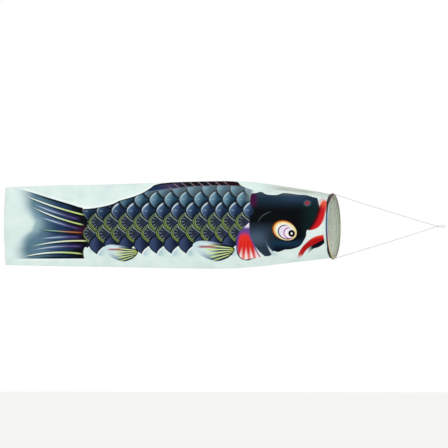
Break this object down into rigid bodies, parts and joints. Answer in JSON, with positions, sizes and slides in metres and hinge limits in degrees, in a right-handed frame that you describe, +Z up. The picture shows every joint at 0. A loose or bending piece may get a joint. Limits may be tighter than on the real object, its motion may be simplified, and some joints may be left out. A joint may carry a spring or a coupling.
{
  "type": "carp streamer",
  "caption": "Fish-shaped fabric tube streamer with a hooped round mouth, an open flat tail and a two-legged cord bridle ending in a hanging loop.",
  "frame": {"origin": "inside the tip of the hanging loop, where the pole's hook or line bears", "axes": "+X ahead, from the tail towards the fish's mouth and the pole, when it flies level in a steady wind; +Z up, towards the fish's back; +Y towards the fish's left side"},
  "size_m": [1.3418, 0.1946, 0.2631],
  "materials": {
    "printed_cloth": "thin woven polyester, printed, slightly see-through",
    "binding_tape": "folded fabric tape, matte",
    "sewing_thread": "spun polyester thread",
    "bridle_cord": "twisted polyester cord",
    "hoop_wire": "drawn spring wire",
    "ferrule": "crimped tube"
  },
  "bodies": {
    "bridle": {"hanging_loop": "bridle_cord", "apex_knot": "bridle_cord", "upper_bridle_line": "bridle_cord", "lower_bridle_line": "bridle_cord", "upper_tie_knot": "bridle_cord", "lower_tie_knot": "bridle_cord"},
    "mouth": {"mouth_hoop": "hoop_wire", "hoop_ferrule": "ferrule", "mouth_binding": "binding_tape", "binding_thread": "sewing_thread", "right_front_panel": "printed_cloth", "left_front_panel": "printed_cloth", "back_seam_thread_front": "sewing_thread", "belly_seam_thread_front": "sewing_thread", "upper_tie_loop": "bridle_cord", "lower_tie_loop": "bridle_cord"},
    "tail": {"right_tail_panel": "printed_cloth", "left_tail_panel": "printed_cloth", "back_seam_thread_tail": "sewing_thread", "belly_seam_thread_tail": "sewing_thread", "right_hem_thread": "sewing_thread", "left_hem_thread": "sewing_thread"}
  },
  "joints": [
    {"name": "mouth_swing", "type": "hinge", "parent": "bridle", "child": "mouth", "pos_m": [-0.3312, 0, 0.0001], "axis": [-0.0087, 0, 1], "range_deg": [-60, 60]},
    {"name": "tail_sway", "type": "hinge", "parent": "mouth", "child": "tail", "pos_m": [-0.98, 0, 0], "axis": [0, 0, 1], "range_deg": [-20, 20]}
  ]
}
